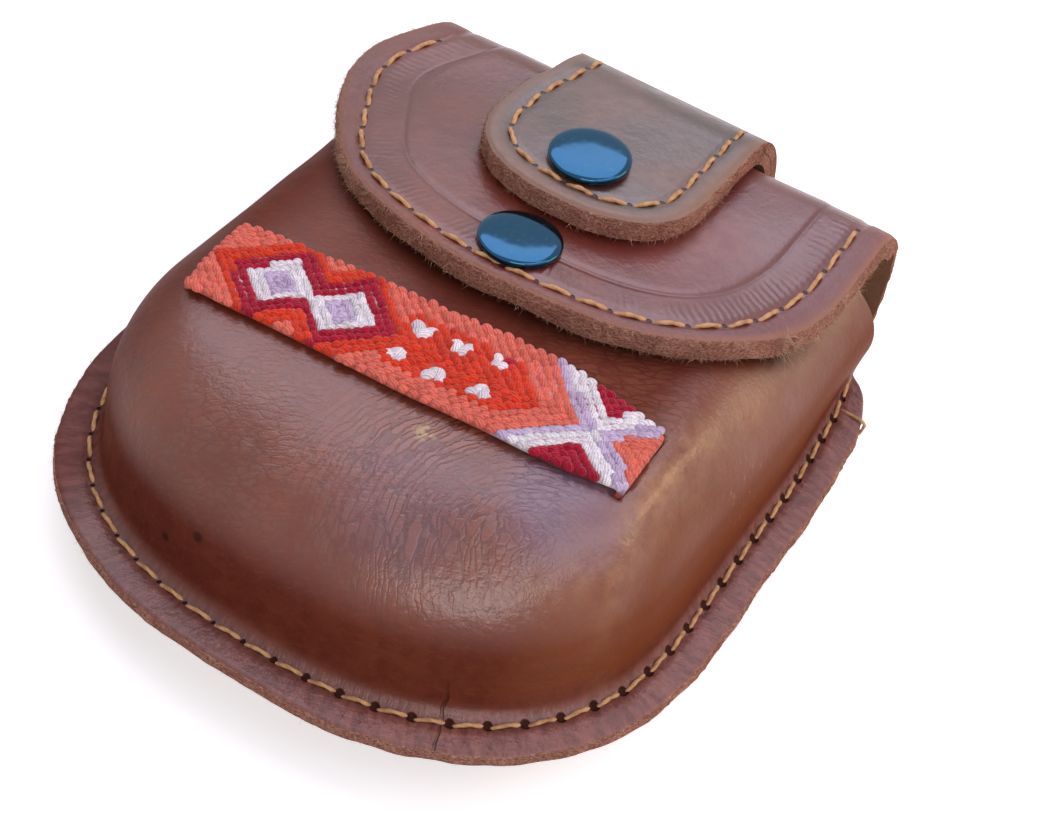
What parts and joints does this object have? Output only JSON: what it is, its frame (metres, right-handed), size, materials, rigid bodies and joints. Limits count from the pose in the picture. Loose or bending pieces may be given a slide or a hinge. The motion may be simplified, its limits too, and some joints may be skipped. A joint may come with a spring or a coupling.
{
  "type": "belt coin purse",
  "caption": "Small moulded leather belt pouch with a fold-over snap flap, a snap strap that loops round a belt and a knotted cotton band laced through its front.",
  "frame": {"origin": "centre of the bounding box's bottom face, on the outer face of the belt strap, which the purse lies on", "axes": "+Z out of the front panel, +Y from the round bottom to the fold, +X to the right of someone facing the front"},
  "size_m": [0.1004, 0.1212, 0.0413],
  "materials": {
    "leather": "waxed brown cowhide with a soft sheen",
    "flap_leather": "smooth polished reddish-brown cowhide",
    "strap_leather": "waxed greyish-brown cowhide",
    "suede": "matt brown flesh side",
    "black_enamel": "gloss black",
    "dark_metal": "dark plated",
    "cotton": "knotted cotton in reds, coral, white and lavender"
  },
  "bodies": {
    "pouch": {"back_panel": "leather", "front_panel": "leather", "woven_band": "cotton", "flap_snap_stud": "dark_metal", "flap_snap_stud_post": "dark_metal", "strap_back": "strap_leather"},
    "flap": {"flap_outer": "flap_leather", "flap_lining": "suede", "flap_snap_cap": "black_enamel", "flap_snap_socket": "dark_metal", "strap_snap_stud": "dark_metal", "strap_snap_stud_post": "dark_metal", "strap_fold_outer": "strap_leather", "strap_fold_lining": "suede"},
    "strap_tab": {"strap_tab_outer": "strap_leather", "strap_tab_lining": "suede", "strap_snap_cap": "black_enamel", "strap_snap_socket": "dark_metal"}
  },
  "joints": [
    {"name": "flap_hinge", "type": "hinge", "parent": "pouch", "child": "flap", "pos_m": [0, 0.0609, 0.0204], "axis": [-1, 0, 0], "range_deg": [0, 110]},
    {"name": "strap_tab_hinge", "type": "hinge", "parent": "flap", "child": "strap_tab", "pos_m": [0, 0.04487, 0.03905], "axis": [-1, 0, 0], "range_deg": [0, 90]}
  ]
}
